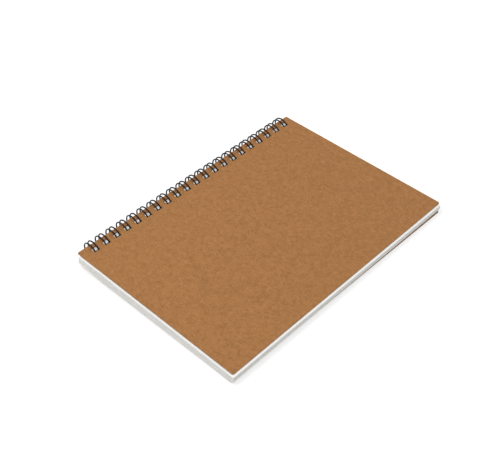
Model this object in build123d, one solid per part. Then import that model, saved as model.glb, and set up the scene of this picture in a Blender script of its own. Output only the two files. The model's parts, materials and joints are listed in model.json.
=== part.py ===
from build123d import *
import math
import os

# A spiral notebook lying closed: two board covers and a block of sheets, punched along
# the spine and held by one twin-loop wire. All sizes are in millimetres.
#
# Everything is first placed about the axis of the wire loops: X runs from the spine to the
# fore edge, Y along the spine, Z up, and the loop axis is the Y axis. At the end the whole
# book is set on the floor, with the origin at the centre of the base of its bounding box.

# Covers and sheets
cover_width = 148.0        # spine edge to fore edge
cover_height = 210.0       # along the spine, and the sheets' height too
board_thickness = 0.6      # each cover
board_corner = 1.0         # radius of the cover corners
sheet_trim = 1.2           # the sheets are this much narrower than the covers
stack_thickness = 6.0      # all the sheets pressed together, as at the fore edge
sheet_air = 0.2            # how much the loops let the sheets loosen at the spine

# Punched holes
hole_pitch = 9.5
hole_size = 4.7            # square holes
hole_corner = 0.4
hole_margin = 3.5          # spine edge to hole, on every sheet and board
end_margin = 9.0           # least distance from a cover's end to the middle of a hole

# Twin-loop wire
wire_diameter = 1.1
bend_radius = 1.0          # where a leg turns into the run to the next loop
loop_slack = 1.2           # wire centre line to the deepest board face, at the axis
tip_gap = 0.4              # closed seam: loop tip to the run it closes against
end_stub = 1.2             # straight wire left beyond the first and last loop

# How the pieces lie
running_gap = 0.25         # around the wire, and between boards that pass each other
board_step = 0.6           # how much nearer the loop axis the front cover lies than the back one
rest_gap = 0.1             # between sheets and boards where they rest on each other
lift_length = 16.0         # the last sheets come down onto the back cover over this length
front_offset = 1.0         # each outline lies this much nearer one end than its row of holes
sheet_offset = 2.5
back_offset = 1.6
back_skew = 0.5            # degrees, the back cover's outline against its row of holes

# Worked out from the sizes above
sheet_width = cover_width - sheet_trim
wire_radius = wire_diameter / 2
leg_spacing = hole_size - wire_diameter - 2 * running_gap    # the two wires of a loop, in one hole
hole_count = 1 + int((cover_height - 2 * end_margin) / hole_pitch)
hole_centres = [(i - (hole_count - 1) / 2) * hole_pitch for i in range(hole_count)]

# Distances from the loop axis, up or down, at the spine
sheets_half = (stack_thickness + sheet_air) / 2
seam_depth = sheets_half + running_gap + wire_radius
back_inner = sheets_half + 2 * running_gap + wire_diameter
back_outer = back_inner + board_thickness
front_outer = back_inner - board_step
front_inner = front_outer - board_thickness

loop_radius = back_outer + loop_slack
loop_inside = loop_radius - wire_radius - running_gap
loop_outside = loop_radius + wire_radius + running_gap

# Where each spine edge lies, measured from the loop axis. The front cover lies in as far as
# its holes clear the outside of the loops at its inner face, and its spine edge can swing past
# the back cover. The sheets and the back cover are slid out, as far as their holes clear the
# inside of the loops, at the top and bottom sheet and at the outer face.
hole_reach = hole_margin + hole_size
spine_to_clear_loops = math.sqrt(loop_outside**2 - front_inner**2) - hole_reach
spine_to_pass_back = -math.sqrt((back_inner - running_gap) ** 2 - front_outer**2)
front_spine = max(spine_to_clear_loops, spine_to_pass_back)
sheets_spine = math.sqrt(loop_inside**2 - sheets_half**2) - hole_margin
back_spine = math.sqrt(loop_inside**2 - back_outer**2) - hole_margin

# Heights above the floor, which the loops and the back cover's fore edge both touch
axis_height = loop_radius + wire_radius
sheets_bottom = board_thickness + rest_gap
sheets_top = sheets_bottom + stack_thickness
front_bottom = sheets_top + rest_gap
front_top = front_bottom + board_thickness


def tilt_to(x, z, height):
    """Degrees to tilt a point down about the loop axis, to bring it to a height above the floor."""
    above_axis = height - axis_height
    return math.degrees(math.atan2(z, x) - math.asin(above_axis / math.hypot(x, z)))


def holes(spine_x):
    """The row of square holes, for a sheet whose spine edge is at spine_x."""
    middle = spine_x + hole_margin + hole_size / 2
    return [
        Pos(middle, y) * RectangleRounded(hole_size, hole_size, hole_corner)
        for y in hole_centres
    ]


def board(spine_x, bottom_z, offset, skew=0.0):
    """A flat cover with its holes, its outline shifted along the spine and turned by skew."""
    middle = Pos(spine_x + cover_width / 2, -offset) * Rot(0, 0, -skew)
    outline = middle * RectangleRounded(cover_width, cover_height, board_corner)
    return Pos(0, 0, bottom_z) * extrude(outline - holes(spine_x), board_thickness)


def front_cover():
    """The front cover, resting on the sheets at the fore edge."""
    flat = board(front_spine, front_inner, front_offset)
    tilt = tilt_to(front_spine + cover_width, front_outer, front_top)
    return Rot(0, tilt, 0) * flat


def back_cover_tilt():
    """The tilt that brings the back cover's outermost corner down to the floor."""
    half_width = cover_width / 2
    half_height = cover_height / 2
    skew = math.radians(back_skew)
    reach = half_width * math.cos(skew) + half_height * math.sin(skew)
    return tilt_to(back_spine + half_width + reach, -back_outer, 0)


def back_cover():
    """The back cover, under the sheets and under the seam of the wire."""
    flat = board(back_spine, -back_outer, back_offset, back_skew)
    return Rot(0, back_cover_tilt(), 0) * flat


def page_block():
    """All the sheets as one solid. At the spine they are gathered in the loops and lifted over
    the seam. Past that they fill the space between the covers, which closes to the fore edge."""
    spine = sheets_spine
    lift_start = loop_outside + rest_gap
    lift_end = lift_start + lift_length
    fore = spine + sheet_width
    front_slope = (front_inner - (front_bottom - axis_height)) / (front_spine + cover_width)
    back_slope = math.tan(math.radians(back_cover_tilt()))
    belly_top = front_inner - rest_gap - front_slope * lift_end
    belly_bottom = rest_gap - back_inner - back_slope * lift_end
    profile = Polyline(
        (spine, sheets_half),
        (lift_start, sheets_half),
        (lift_end, belly_top),
        (fore, sheets_top - axis_height),
        (fore, sheets_bottom - axis_height),
        (lift_end, belly_bottom),
        (lift_start, -sheets_half),
        (spine, -sheets_half),
        close=True,
    )
    side = Plane.XZ * make_face(profile)
    block = Pos(0, cover_height / 2 - sheet_offset) * extrude(side, cover_height)
    punches = Pos(0, 0, -axis_height) * extrude(Sketch() + holes(spine), 2 * axis_height)
    return block - punches


def around(angle, y, ahead=0.0):
    """A point on the loops, at an angle in degrees turned down from +X, or ahead along the tangent."""
    turn = math.radians(angle)
    x = loop_radius * math.cos(turn) - ahead * math.sin(turn)
    z = -loop_radius * math.sin(turn) - ahead * math.cos(turn)
    return Vector(x, y, z)


# The runs between loops lie at seam_depth, between the sheets and the back cover. Each leg
# starts one bend past its run and goes down, round and over, to a tip that closes on the seam.
run_radius = math.hypot(loop_radius, bend_radius)
bend_angle = math.degrees(math.atan2(bend_radius, loop_radius))
run_angle = math.degrees(math.asin(seam_depth / run_radius))
leg_start = run_angle + bend_angle
tip_radius = leg_spacing / 2
tip_angle = 360 + run_angle - math.degrees((wire_diameter + tip_gap) / loop_radius)
leg_end = tip_angle - math.degrees(math.atan2(tip_radius, loop_radius))

half_chord = math.sqrt(0.5)


def bend(leg_y, side):
    """The quarter turn from a run into the leg beside it: the end of the run, and the middle."""
    run_end = around(leg_start, leg_y + side * bend_radius, -bend_radius)
    middle_y = leg_y + side * bend_radius * (1 - half_chord)
    return run_end, around(leg_start, middle_y, -bend_radius * half_chord)


def loop_path(centre_y):
    """One loop: a bend, a leg, the tip, the second leg and its bend, as joined edges."""
    near = centre_y - tip_radius
    far = centre_y + tip_radius
    leg_middle = (leg_start + leg_end) / 2
    near_run, near_bend = bend(near, -1)
    far_run, far_bend = bend(far, 1)
    return [
        ThreePointArc(near_run, near_bend, around(leg_start, near)),
        ThreePointArc(around(leg_start, near), around(leg_middle, near), around(leg_end, near)),
        ThreePointArc(around(leg_end, near), around(leg_end, centre_y, tip_radius), around(leg_end, far)),
        ThreePointArc(around(leg_end, far), around(leg_middle, far), around(leg_start, far)),
        ThreePointArc(around(leg_start, far), far_bend, far_run),
    ]


def binding_wire():
    """The whole wire, one round section swept through every loop and the runs between them."""
    edges = []
    run_half = tip_radius + bend_radius
    run_start = around(leg_start, hole_centres[0] - run_half - end_stub, -bend_radius)
    first = run_start
    for centre_y in hole_centres:
        run_end = around(leg_start, centre_y - run_half, -bend_radius)
        edges.append(Line(run_start, run_end))
        edges += loop_path(centre_y)
        run_start = around(leg_start, centre_y + run_half, -bend_radius)
    last = around(leg_start, hole_centres[-1] + run_half + end_stub, -bend_radius)
    edges.append(Line(run_start, last))
    path = Wire(edges)
    section = Plane(origin=first, z_dir=(0, 1, 0)) * Circle(wire_radius)
    wire = sweep(section, path=path)
    expected = section.area * path.length
    print(f"wire: {path.length:.0f} mm long, volume {wire.volume / expected:.4f} of section x length")
    return wire


def on_floor(pieces):
    """Sets the book down with the origin at the centre of the base of its bounding box."""
    box = Compound(list(pieces.values())).bounding_box()
    shift = Pos(-box.center().X, -box.center().Y, axis_height)
    print(f"loop axis at x {-box.center().X:.4f}, z {axis_height:.4f}")
    return {name: shift * piece for name, piece in pieces.items()}


pieces = on_floor({
    "front_cover": front_cover(),
    "page_block": page_block(),
    "back_cover": back_cover(),
    "binding_wire": binding_wire(),
})

os.makedirs("parts", exist_ok=True)
for name, piece in pieces.items():
    export_step(piece, f"parts/{name}.step")
    print(name, "volume", round(piece.volume, 1))
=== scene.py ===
import json
import math
import random

import bmesh
import bpy
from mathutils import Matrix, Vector


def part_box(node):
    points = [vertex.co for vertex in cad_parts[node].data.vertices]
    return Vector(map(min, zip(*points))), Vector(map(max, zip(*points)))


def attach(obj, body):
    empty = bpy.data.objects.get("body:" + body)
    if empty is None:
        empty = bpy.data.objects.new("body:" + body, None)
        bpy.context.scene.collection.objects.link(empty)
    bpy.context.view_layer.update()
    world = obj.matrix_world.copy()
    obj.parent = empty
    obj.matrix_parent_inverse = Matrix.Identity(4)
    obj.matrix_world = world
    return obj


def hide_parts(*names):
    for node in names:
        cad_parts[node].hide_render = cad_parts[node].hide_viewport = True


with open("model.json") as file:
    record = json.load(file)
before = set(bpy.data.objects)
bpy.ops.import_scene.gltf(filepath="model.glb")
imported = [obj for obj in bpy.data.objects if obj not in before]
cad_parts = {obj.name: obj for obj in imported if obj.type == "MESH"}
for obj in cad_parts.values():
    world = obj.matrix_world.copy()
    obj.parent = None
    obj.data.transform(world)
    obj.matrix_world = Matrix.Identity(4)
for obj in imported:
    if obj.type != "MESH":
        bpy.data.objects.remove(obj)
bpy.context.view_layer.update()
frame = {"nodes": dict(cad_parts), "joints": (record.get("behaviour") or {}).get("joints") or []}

# Lengths in the dictionaries below are in millimetres, like the ones on a drawing.
mm = 0.001
sameSpot = 0.002 * mm    # points nearer than this are in one place


def point(x, y, z):
    return Vector((x * mm, y * mm, z * mm))


# The loop axis, in metres: everything at the spine is measured from it.
loopJoint = next(j for j in frame["joints"] if j["name"] == "front_cover_open")
loopAxis = Vector(loopJoint["pos_m"])
wireLow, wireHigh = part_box("binding_wire")
loopAxis.y = (wireLow.y + wireHigh.y) / 2
sheetLow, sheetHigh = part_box("page_block")

punching = {
    "count": 21,
    "pitch": 9.5,
    "size": 4.7,
    "margin": 3.5,      # spine edge to hole
}


def deselectAll():
    if bpy.context.object and bpy.context.object.mode != "OBJECT":
        bpy.ops.object.mode_set(mode="OBJECT")
    bpy.ops.object.select_all(action="DESELECT")


def pickOnly(piece):
    deselectAll()
    piece.select_set(True)
    bpy.context.view_layer.objects.active = piece


def startEditing(piece, mode="VERT"):
    pickOnly(piece)
    bpy.ops.object.mode_set(mode="EDIT")
    bpy.ops.mesh.select_mode(type=mode)


def stopEditing():
    bpy.ops.object.mode_set(mode="OBJECT")


def applyPlace(piece):
    pickOnly(piece)
    bpy.ops.object.transform_apply(location=True, rotation=True, scale=True)


def applyModifier(piece, kind, **settings):
    modifier = piece.modifiers.new(kind.title(), kind)
    for name, value in settings.items():
        setattr(modifier, name, value)
    pickOnly(piece)
    bpy.ops.object.modifier_apply(modifier=modifier.name)


def selectVerts(piece, wanted):
    mesh = bmesh.from_edit_mesh(piece.data)
    bpy.ops.mesh.select_all(action="DESELECT")
    for vert in mesh.verts:
        vert.select = wanted(vert)
    mesh.select_flush(True)
    bmesh.update_edit_mesh(piece.data)


def selectFaces(piece, wanted):
    mesh = bmesh.from_edit_mesh(piece.data)
    bpy.ops.mesh.select_all(action="DESELECT")
    for face in mesh.faces:
        face.select = wanted(face)
    mesh.select_flush_mode()
    bmesh.update_edit_mesh(piece.data)


view = {
    "place": (329.9, -337.3, 444.0),
    "turn": (47.065, 1.485, 43.898),    # degrees
    "lens": 66.4,
    "sensor": 36.0,
    "clipStart": 10.0,
}


def addCamera():
    bpy.ops.object.camera_add(
        location=point(*view["place"]),
        rotation=[math.radians(angle) for angle in view["turn"]],
    )
    camera = bpy.context.object
    camera.name = "camera"
    camera.data.lens = view["lens"]
    camera.data.sensor_width = view["sensor"]
    camera.data.clip_start = view["clipStart"] * mm
    bpy.context.scene.camera = camera


# Gives a socket a fixed value, a colour or another node's output
def feed(links, value, socket):
    if isinstance(value, bpy.types.NodeSocket):
        links.new(value, socket)
    elif isinstance(value, tuple):
        socket.default_value = (*value, 1)
    else:
        socket.default_value = value


def addMath(nodes, links, operation, first, second=0.0):
    node = nodes.new("ShaderNodeMath")
    node.operation = operation
    feed(links, first, node.inputs[0])
    feed(links, second, node.inputs[1])
    return node.outputs[0]


def addRange(nodes, links, value, span, result=(0.0, 1.0)):
    ramp = nodes.new("ShaderNodeMapRange")
    ramp.inputs["From Min"].default_value = span[0]
    ramp.inputs["From Max"].default_value = span[1]
    ramp.inputs["To Min"].default_value = result[0]
    ramp.inputs["To Max"].default_value = result[1]
    links.new(value, ramp.inputs["Value"])
    return ramp.outputs["Result"]


# kind is FLOAT or RGBA
def addMix(nodes, links, kind, factor, first, second):
    mix = nodes.new("ShaderNodeMix")
    mix.data_type = kind
    for name, value in (("Factor", factor), ("A", first), ("B", second)):
        socket = next(s for s in mix.inputs if s.name == name and s.enabled)
        feed(links, value, socket)
    return next(s for s in mix.outputs if s.enabled)


mostNoise = (0.3, 0.7)    # the span that most of a noise lies in


# scale is in features per metre
def addNoise(nodes, links, vector, scale, detail, roughness=0.5, distortion=0.0):
    noise = nodes.new("ShaderNodeTexNoise")
    noise.inputs["Detail"].default_value = detail
    noise.inputs["Roughness"].default_value = roughness
    noise.inputs["Distortion"].default_value = distortion
    feed(links, scale, noise.inputs["Scale"])
    links.new(vector, noise.inputs["Vector"])
    return noise.outputs["Fac"]


def addBump(nodes, links, surface, height, strength, depth):
    bump = nodes.new("ShaderNodeBump")
    bump.inputs["Strength"].default_value = strength
    bump.inputs["Distance"].default_value = depth * mm
    links.new(height, bump.inputs["Height"])
    links.new(bump.outputs["Normal"], surface.inputs["Normal"])


def newMaterial(name):
    material = bpy.data.materials.new(name)
    material.use_nodes = True
    tree = material.node_tree
    return material, tree.nodes, tree.links, tree.nodes["Principled BSDF"]


lighting = {
    "worldStrength": 0.64,
    "worldColor": (1.0, 1.0, 1.0),
    "seenColor": (1.0, 1.0, 1.0),
    # name: (place, size, watts, colour)
    "lamps": {
        "key": ((-300, -360, 900), 500, 3.6, (1.0, 0.992, 0.98)),
        "fill": ((380, 460, 950), 600, 1.0, (0.98, 0.99, 1.0)),
    },
    "aim": (0, 0, 0),
}


def addLamp(name, place, size, watts, color):
    bpy.ops.object.light_add(type="AREA", location=point(*place))
    lamp = bpy.context.object
    lamp.name = name
    lamp.data.shape = "DISK"
    lamp.data.size = size * mm
    lamp.data.energy = watts
    lamp.data.color = color
    aim = point(*lighting["aim"]) - lamp.location
    lamp.rotation_euler = aim.to_track_quat("-Z", "Y").to_euler()


# 1 where the view, a mirror or glass looks straight at a surface, 0 for its light on things
def seenDirectly(nodes, links):
    path = nodes.new("ShaderNodeLightPath")
    camera = path.outputs["Is Camera Ray"]
    either = addMath(nodes, links, "MAXIMUM", camera, path.outputs["Is Glossy Ray"])
    return addMath(nodes, links, "MAXIMUM", either, path.outputs["Is Transmission Ray"])


def addWorld():
    world = bpy.data.worlds.new("studio")
    bpy.context.scene.world = world
    world.use_nodes = True
    nodes, links = world.node_tree.nodes, world.node_tree.links
    light = nodes["Background"]
    feed(links, lighting["worldColor"], light.inputs["Color"])
    feed(links, lighting["worldStrength"], light.inputs["Strength"])
    seen = nodes.new("ShaderNodeBackground")
    feed(links, lighting["seenColor"], seen.inputs["Color"])
    mix = nodes.new("ShaderNodeMixShader")
    links.new(seenDirectly(nodes, links), mix.inputs["Fac"])
    links.new(light.outputs[0], mix.inputs[1])
    links.new(seen.outputs[0], mix.inputs[2])
    links.new(mix.outputs[0], nodes["World Output"].inputs["Surface"])


ground = {
    "color": (0.62, 0.62, 0.62),
    "glow": 0.52,       # only what the view sees, not light on the notebook
    "size": 4000,
    "drop": 0.1,        # below what the notebook rests on
    "roughness": 0.9,
    "specular": 0.1,
}


def addFloor():
    bpy.ops.mesh.primitive_plane_add(size=ground["size"] * mm, location=point(0, 0, -ground["drop"]))
    floor = bpy.context.object
    floor.name = "floor"
    material, nodes, links, surface = newMaterial("paleFloor")
    feed(links, ground["color"], surface.inputs["Base Color"])
    surface.inputs["Roughness"].default_value = ground["roughness"]
    surface.inputs["Specular IOR Level"].default_value = ground["specular"]
    glow = nodes.new("ShaderNodeEmission")
    strength = addMath(nodes, links, "MULTIPLY", seenDirectly(nodes, links), ground["glow"])
    links.new(strength, glow.inputs["Strength"])
    both = nodes.new("ShaderNodeAddShader")
    links.new(surface.outputs[0], both.inputs[0])
    links.new(glow.outputs[0], both.inputs[1])
    links.new(both.outputs[0], nodes["Material Output"].inputs["Surface"])
    floor.data.materials.append(material)


# inputs are name: (kind, default) and outputs are name: kind
def newGroup(name, inputs, outputs):
    group = bpy.data.node_groups.new(name, "ShaderNodeTree")
    for label, (kind, default) in inputs.items():
        socket = group.interface.new_socket(label, in_out="INPUT", socket_type=kind)
        if default is not None:
            socket.default_value = default
    for label, kind in outputs.items():
        group.interface.new_socket(label, in_out="OUTPUT", socket_type=kind)
    start = group.nodes.new("NodeGroupInput")
    end = group.nodes.new("NodeGroupOutput")
    return group, start, end


fibre = {
    "lie": 24,                  # degrees, the way most fibres lie
    "squeeze": 0.22,            # how far the noise is drawn out along that way
    "speckShare": 0.28,         # specks for each fibre in a row
    "speckEdge": (0.16, 0.06),  # from a speck's middle: bare, full
    "speckPick": (0.62, 0.7),   # which cells have a speck
}


# Recycled pulp: soft clouds a few millimetres across, fine fibres and pale specks
def makePulpGroup():
    group, start, end = newGroup(
        "pulp",
        {
            "Vector": ("NodeSocketVector", None),
            "Cloud Size": ("NodeSocketFloat", 4.0),
            "Fibre Size": ("NodeSocketFloat", 0.5),
        },
        {
            "Clouds": "NodeSocketFloat",
            "Fibres": "NodeSocketFloat",
            "Specks": "NodeSocketFloat",
            "Height": "NodeSocketFloat",
        },
    )
    nodes, links = group.nodes, group.links
    where = start.outputs["Vector"]
    # Sizes are in millimetres, and a noise's scale is its features per metre.
    cloudScale = addMath(nodes, links, "DIVIDE", 1 / mm, start.outputs["Cloud Size"])
    fibreScale = addMath(nodes, links, "DIVIDE", 1 / mm, start.outputs["Fibre Size"])
    clouds = addNoise(nodes, links, where, cloudScale, detail=3.0, roughness=0.6)

    squeeze = nodes.new("ShaderNodeMapping")
    squeeze.inputs["Rotation"].default_value = (0, 0, math.radians(fibre["lie"]))
    squeeze.inputs["Scale"].default_value = (fibre["squeeze"], 1.0, 1.0)
    links.new(where, squeeze.inputs["Vector"])
    along = addNoise(nodes, links, squeeze.outputs["Vector"], fibreScale,
                     detail=4.0, roughness=0.65, distortion=0.6)
    across = addNoise(nodes, links, where, fibreScale, detail=3.0, distortion=0.8)
    fibres = addMath(nodes, links, "ADD", along, across)
    fibres = addMath(nodes, links, "MULTIPLY", fibres, 0.5)    # their mean

    cells = nodes.new("ShaderNodeTexVoronoi")
    links.new(where, cells.inputs["Vector"])
    speckScale = addMath(nodes, links, "MULTIPLY", fibreScale, fibre["speckShare"])
    links.new(speckScale, cells.inputs["Scale"])
    dots = addRange(nodes, links, cells.outputs["Distance"], fibre["speckEdge"])
    chosen = nodes.new("ShaderNodeSeparateColor")
    links.new(cells.outputs["Color"], chosen.inputs["Color"])
    few = addRange(nodes, links, chosen.outputs["Red"], fibre["speckPick"])
    specks = addMath(nodes, links, "MULTIPLY", dots, few)

    links.new(clouds, end.inputs["Clouds"])
    links.new(fibres, end.inputs["Fibres"])
    links.new(specks, end.inputs["Specks"])
    links.new(fibres, end.inputs["Height"])
    return group


pulpGroup = makePulpGroup()


def placePulp(nodes, links, finish):
    where = nodes.new("ShaderNodeTexCoord")
    pulp = nodes.new("ShaderNodeGroup")
    pulp.node_tree = pulpGroup
    pulp.inputs["Cloud Size"].default_value = finish["cloudSize"]
    pulp.inputs["Fibre Size"].default_value = finish["fibreSize"]
    links.new(where.outputs["Object"], pulp.inputs["Vector"])
    return pulp


# 1 on the sheared sides of a board or a stack, 0 on its flat faces: where the boards and the paper
# get painted shade
def cutSides(nodes, links):
    where = nodes.new("ShaderNodeTexCoord")
    facing = nodes.new("ShaderNodeSeparateXYZ")
    links.new(where.outputs["Normal"], facing.inputs[0])
    level = addMath(nodes, links, "ABSOLUTE", facing.outputs["Z"])
    steep = (0.7, 0.5)    # flat above the first, a side below the second
    return addRange(nodes, links, level, steep)


kraft = {
    "dark": (0.272, 0.114, 0.032),
    "light": (0.470, 0.218, 0.072),
    "speck": (0.500, 0.300, 0.160),
    # painted shade: the boards' cut sides are coloured a darker brown than their faces
    "paintedSideShade": (0.250, 0.115, 0.045),
    "cloudSize": 3.6,
    "cloudSpan": (0.32, 0.68),
    "fibreSize": 0.5,
    "fibreSpan": (0.42, 0.58),
    "fibreShare": 0.66,         # of the tone, and the rest is the clouds'
    "speckStrength": 0.5,
    "roughness": (0.80, 0.64),  # between the fibres and on them
    "specular": 0.3,
    "bumpStrength": 0.6,
    "bumpDepth": 0.04,
}


def makeKraft():
    material, nodes, links, surface = newMaterial("kraftBoard")
    pulp = placePulp(nodes, links, kraft)
    clouds = addRange(nodes, links, pulp.outputs["Clouds"], kraft["cloudSpan"])
    fibres = addRange(nodes, links, pulp.outputs["Fibres"], kraft["fibreSpan"])
    tone = addMix(nodes, links, "FLOAT", kraft["fibreShare"], clouds, fibres)
    color = addMix(nodes, links, "RGBA", tone, kraft["dark"], kraft["light"])
    specks = addMath(nodes, links, "MULTIPLY", pulp.outputs["Specks"], kraft["speckStrength"])
    color = addMix(nodes, links, "RGBA", specks, color, kraft["speck"])
    # Painted shade: the cut sides are mixed to a darker brown.
    color = addMix(nodes, links, "RGBA", cutSides(nodes, links), color, kraft["paintedSideShade"])
    links.new(color, surface.inputs["Base Color"])
    shine = addRange(nodes, links, pulp.outputs["Fibres"], mostNoise, kraft["roughness"])
    links.new(shine, surface.inputs["Roughness"])
    surface.inputs["Specular IOR Level"].default_value = kraft["specular"]
    height = pulp.outputs["Height"]
    addBump(nodes, links, surface, height, kraft["bumpStrength"], kraft["bumpDepth"])
    return material


paper = {
    "color": (0.94, 0.935, 0.91),
    # painted shade for the lines on the stack's cut sides
    "shade": (0.80, 0.785, 0.74),
    "lineWidth": 0.35,          # of the lines that the cut edges show
    "lineStretch": 0.03,        # how little they change along a leaf
    "lineSpan": (0.35, 0.6),
    "cloudSize": 14.0,
    "fibreSize": 0.35,
    "roughness": (0.74, 0.86),
    "specular": 0.25,
    "bumpStrength": 0.3,
    "bumpDepth": 0.02,
}


def makePaper():
    material, nodes, links, surface = newMaterial("whitePaper")
    # The stack's cut sides get fine dark lines and a darker tone overall: painted shade between the
    # leaves, along with a little random tone.
    where = nodes.new("ShaderNodeTexCoord")
    flatten = nodes.new("ShaderNodeMapping")
    flatten.inputs["Scale"].default_value = (paper["lineStretch"], paper["lineStretch"], 1.0)
    links.new(where.outputs["Object"], flatten.inputs["Vector"])
    lineScale = 1 / (paper["lineWidth"] * mm)
    lines = addNoise(nodes, links, flatten.outputs["Vector"], lineScale, detail=2.0, roughness=0.7)
    lines = addRange(nodes, links, lines, paper["lineSpan"], (1.0, 0.0))
    # painted shade: only the cut sides get the darker lines
    tone = addMath(nodes, links, "MULTIPLY", lines, cutSides(nodes, links))
    color = addMix(nodes, links, "RGBA", tone, paper["color"], paper["shade"])
    links.new(color, surface.inputs["Base Color"])
    pulp = placePulp(nodes, links, paper)
    shine = addRange(nodes, links, pulp.outputs["Fibres"], mostNoise, paper["roughness"])
    links.new(shine, surface.inputs["Roughness"])
    surface.inputs["Specular IOR Level"].default_value = paper["specular"]
    height = pulp.outputs["Height"]
    addBump(nodes, links, surface, height, paper["bumpStrength"], paper["bumpDepth"])
    return material


coating = {
    "color": (0.004, 0.004, 0.005),
    "worn": (0.009, 0.009, 0.010),
    "wornSpan": (0.35, 0.7),
    "patches": 140,             # a metre
    "ripples": 900,             # a metre
    "roughness": (0.14, 0.30),
    "specular": 0.2,
    "bumpStrength": 0.25,
    "bumpDepth": 0.02,
}


def makeCoating():
    material, nodes, links, surface = newMaterial("blackCoating")
    where = nodes.new("ShaderNodeTexCoord")
    ripples = addNoise(nodes, links, where.outputs["Object"], coating["ripples"], detail=3.0)
    patches = addNoise(nodes, links, where.outputs["Object"], coating["patches"], detail=2.0)
    tone = addRange(nodes, links, patches, coating["wornSpan"])
    color = addMix(nodes, links, "RGBA", tone, coating["color"], coating["worn"])
    links.new(color, surface.inputs["Base Color"])
    shine = addRange(nodes, links, ripples, mostNoise, coating["roughness"])
    links.new(shine, surface.inputs["Roughness"])
    surface.inputs["Specular IOR Level"].default_value = coating["specular"]
    addBump(nodes, links, surface, ripples, coating["bumpStrength"], coating["bumpDepth"])
    return material


kraftBoard = makeKraft()
whitePaper = makePaper()
blackCoating = makeCoating()


def dress(piece, material):
    piece.data.materials.clear()
    piece.data.materials.append(material)


sheets = {
    "count": 60,
    "thickness": 0.085,
    "spacing": 0.1,         # of the flat leaves, before they are fanned
    "gathered": 3.05,       # half the stack's height inside the loops
    "liftStart": 7.4,       # from the loop axis, where the leaves leave the loops
    "liftEnd": 23.4,
    "bellyTop": 2.75,       # above and below the loop axis at liftEnd
    "bellyBottom": -4.83,
    "foreTop": -0.36,       # and at the fore edge
    "foreBottom": -6.34,
    "bends": 5,             # rows of faces in the lift
    "drawnIn": 1.4,         # the lowest leaf bends most, so its fore edge lies this much further in
    "stray": 0.12,          # how far leaves slip out of line
    "seed": 7,
}


def ease(share):
    share = min(max(share, 0.0), 1.0)
    return share * share * (3 - 2 * share)


# The stack's bottom and top, in mm from the loop axis, at x mm out from it
def stackAt(x):
    fore = (sheetHigh.x - loopAxis.x) / mm
    if x <= sheets["liftEnd"]:
        share = ease((x - sheets["liftStart"]) / (sheets["liftEnd"] - sheets["liftStart"]))
        bottom = -sheets["gathered"] + share * (sheets["bellyBottom"] + sheets["gathered"])
        top = sheets["gathered"] + share * (sheets["bellyTop"] - sheets["gathered"])
        return bottom, top
    share = (x - sheets["liftEnd"]) / (fore - sheets["liftEnd"])
    bottom = sheets["bellyBottom"] + share * (sheets["foreBottom"] - sheets["bellyBottom"])
    top = sheets["bellyTop"] + share * (sheets["foreTop"] - sheets["bellyTop"])
    return bottom, top


# Cuts what is selected with a plane square to axis 0 or 1, at place in metres
def cutAcross(axis, place):
    spot = [0, 0, 0]
    normal = [0, 0, 0]
    spot[axis] = place
    normal[axis] = 1
    bpy.ops.mesh.bisect(plane_co=spot, plane_no=normal)


# The row of holes starts and ends here along X, in metres
holeNear = sheetLow.x + punching["margin"] * mm
holeFar = holeNear + punching["size"] * mm


def inHoleRow(face):
    return holeNear < face.calc_center_median().x < holeFar


# Cuts the leaf at both sides of the holes, and into rows of faces where it bends
def cutRows():
    liftRun = sheets["liftEnd"] - sheets["liftStart"]
    rows = [holeNear, holeFar]
    for step in range(sheets["bends"] + 1):
        rows.append(loopAxis.x + (sheets["liftStart"] + liftRun * step / sheets["bends"]) * mm)
    for x in rows:
        bpy.ops.mesh.select_all(action="SELECT")
        cutAcross(0, x)


def punchHoles(leaf):
    middle = (punching["count"] - 1) / 2
    half = punching["size"] * mm / 2
    for index in range(punching["count"]):
        center = loopAxis.y + (index - middle) * punching["pitch"] * mm
        for side in (-half, half):
            selectFaces(leaf, inHoleRow)
            cutAcross(1, center + side)

    def isHole(face):
        number = (face.calc_center_median().y - loopAxis.y) / (punching["pitch"] * mm) + middle
        nearest = round(number)
        onPitch = abs(number - nearest) * punching["pitch"] * mm < sameSpot
        return inHoleRow(face) and onPitch and 0 <= nearest < punching["count"]

    selectFaces(leaf, isHole)
    bpy.ops.mesh.delete(type="FACE")


# One sheet with its holes, flat at the height of the loop axis
def makeLeaf():
    bpy.ops.mesh.primitive_plane_add(size=1, location=(
        (sheetLow.x + sheetHigh.x) / 2, (sheetLow.y + sheetHigh.y) / 2, loopAxis.z))
    leaf = bpy.context.object
    leaf.name = "sheet.stack"
    leaf.scale = (sheetHigh.x - sheetLow.x, sheetHigh.y - sheetLow.y, 1)
    applyPlace(leaf)
    startEditing(leaf, "FACE")
    cutRows()
    punchHoles(leaf)
    stopEditing()
    return leaf


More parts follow.
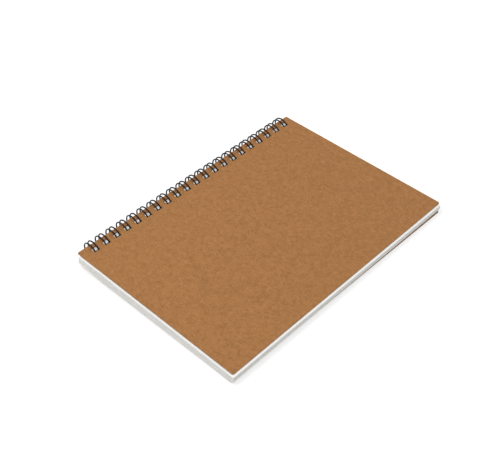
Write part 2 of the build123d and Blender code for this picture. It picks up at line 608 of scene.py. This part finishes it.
def makeSheets():
    stack = makeLeaf()
    leafVerts = len(stack.data.vertices)
    applyModifier(stack, "ARRAY", count=sheets["count"], use_relative_offset=False,
                  use_constant_offset=True,
                  constant_offset_displace=(0, 0, sheets["spacing"] * mm))
    startEditing(stack)
    # Fan the leaves: each row across the stack is spread to its own height.
    mesh = bmesh.from_edit_mesh(stack.data)
    columns = sorted({round(v.co.x, 6) for v in mesh.verts})
    flatBottom = loopAxis.z
    flatHeight = (sheets["count"] - 1) * sheets["spacing"] * mm
    for x in columns:
        bottom, top = stackAt((x - loopAxis.x) / mm)
        bottom += sheets["thickness"] / 2
        top -= sheets["thickness"] / 2
        selectVerts(stack, lambda v: abs(v.co.x - x) < sameSpot)
        bpy.ops.transform.resize(value=(1, 1, (top - bottom) * mm / flatHeight),
                                 center_override=(x, 0, flatBottom))
        bpy.ops.transform.translate(value=(0, 0, bottom * mm))
    # Leaves never sit quite in line.
    slip = random.Random(sheets["seed"])
    stray = sheets["stray"] / 2 * mm
    for number in range(sheets["count"]):
        first = number * leafVerts
        selectVerts(stack, lambda v: first <= v.index < first + leafVerts)
        height = number / (sheets["count"] - 1)
        drawn = sheets["drawnIn"] * (1 - height) ** 2 * mm
        inward = -drawn - abs(slip.gauss(0, stray))
        sideways = abs(slip.gauss(0, stray))
        bpy.ops.transform.translate(value=(inward, sideways, 0))
    stopEditing()
    applyModifier(stack, "SOLIDIFY", thickness=sheets["thickness"] * mm, offset=0)
    dress(stack, whitePaper)
    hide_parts("page_block")
    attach(stack, "book_block")
    print("sheets:", sheets["count"], "leaves,", len(stack.data.polygons), "faces")


wire = {
    "diameter": 1.1,
    "radius": 6.5,          # of the loops, at the middle of the wire
    "legSpacing": 3.1,
    "bendRadius": 1.0,
    "seamDepth": 3.9,       # of the runs between loops, below the loop axis
    "tipGap": 0.4,          # between a loop's tip and the run it closes against
    "stub": 1.2,            # of wire past the first and last loop
    "sides": 14,
    "turnSteps": 56,
    "bendSteps": 6,
    "smoothAngle": 50,      # degrees
}


# A point of the wire's middle line, degrees down from +X about the loop axis, y in mm
def onLoop(degrees, y, ahead=0.0):
    turn = math.radians(degrees)
    x = wire["radius"] * math.cos(turn) - ahead * math.sin(turn)
    z = -wire["radius"] * math.sin(turn) - ahead * math.cos(turn)
    return Vector((loopAxis.x + x * mm, y * mm, loopAxis.z + z * mm))


def outwardAt(degrees):
    turn = math.radians(degrees)
    return (math.cos(turn), 0, -math.sin(turn))


# Spin turns the other way from a rotation about the same axis.
def spinEnd(steps, degrees, center, axis):
    bpy.ops.mesh.spin(steps=steps, angle=-math.radians(degrees), center=center, axis=axis)


# One loop, drawn out of a small circle by spinning its end round each bend in turn
def makeLoop(centerY):
    bend = wire["bendRadius"]
    tip = wire["legSpacing"] / 2
    near = centerY - tip
    far = centerY + tip
    runRadius = math.hypot(wire["radius"], bend)
    runAngle = math.degrees(math.asin(wire["seamDepth"] / runRadius))
    legStart = runAngle + math.degrees(math.atan2(bend, wire["radius"]))
    tipAngle = 360 + runAngle - math.degrees((wire["diameter"] + wire["tipGap"]) / wire["radius"])
    legEnd = tipAngle - math.degrees(math.atan2(tip, wire["radius"]))
    turn = legEnd - legStart
    halfPitch = punching["pitch"] / 2
    run = (halfPitch - tip - bend) * mm
    bpy.ops.mesh.primitive_circle_add(
        vertices=wire["sides"], radius=wire["diameter"] / 2 * mm,
        location=onLoop(legStart, centerY - halfPitch, -bend), rotation=(math.radians(90), 0, 0))
    loop = bpy.context.object
    loop.name = "binding.loops"
    applyPlace(loop)
    startEditing(loop)
    bpy.ops.mesh.select_all(action="SELECT")
    bpy.ops.mesh.extrude_region_move(TRANSFORM_OT_translate={"value": (0, run, 0)})
    spinEnd(wire["bendSteps"], -90, onLoop(legStart, near - bend), outwardAt(legStart))
    spinEnd(wire["turnSteps"], turn, loopAxis, (0, 1, 0))
    spinEnd(2 * wire["bendSteps"], 180, onLoop(legEnd, centerY), outwardAt(legEnd))
    spinEnd(wire["turnSteps"], -turn, loopAxis, (0, 1, 0))
    spinEnd(wire["bendSteps"], -90, onLoop(legStart, far + bend), outwardAt(legStart))
    bpy.ops.mesh.extrude_region_move(TRANSFORM_OT_translate={"value": (0, run, 0)})
    stopEditing()
    return loop


def makeWire():
    reach = (punching["count"] - 1) / 2 * punching["pitch"]
    wireEnd = punching["pitch"] / 2 - wire["legSpacing"] / 2 - wire["bendRadius"] - wire["stub"]
    loops = makeLoop(loopAxis.y / mm - reach)
    applyModifier(loops, "ARRAY", count=punching["count"], use_relative_offset=False,
                  use_constant_offset=True, constant_offset_displace=(0, punching["pitch"] * mm, 0),
                  use_merge_vertices=True, merge_threshold=sameSpot)
    ends = [v.co.y for v in loops.data.vertices]
    startEditing(loops)
    for endY, inward in ((min(ends), 1), (max(ends), -1)):
        selectVerts(loops, lambda v: abs(v.co.y - endY) < sameSpot)
        bpy.ops.transform.translate(value=(0, inward * wireEnd * mm, 0))
        bpy.ops.mesh.edge_face_add()
    bpy.ops.mesh.select_all(action="SELECT")
    bpy.ops.mesh.normals_make_consistent(inside=False)
    stopEditing()
    pickOnly(loops)
    bpy.ops.object.shade_smooth_by_angle(angle=math.radians(wire["smoothAngle"]))
    dress(loops, blackCoating)
    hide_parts("binding_wire")
    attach(loops, "book_block")
    print("wire:", punching["count"], "loops,", len(loops.data.polygons), "faces,",
          "size", [round(v / mm, 2) for v in loops.dimensions])


addCamera()
addWorld()
for lampName, lampValues in lighting["lamps"].items():
    addLamp(lampName, *lampValues)
addFloor()
bpy.context.scene.view_settings.view_transform = "Standard"
print("stage: camera, lamps and floor")

for board in ("front_cover", "back_cover"):
    dress(frame["nodes"][board], kraftBoard)
print("stage: boards finished")
makeSheets()
makeWire()
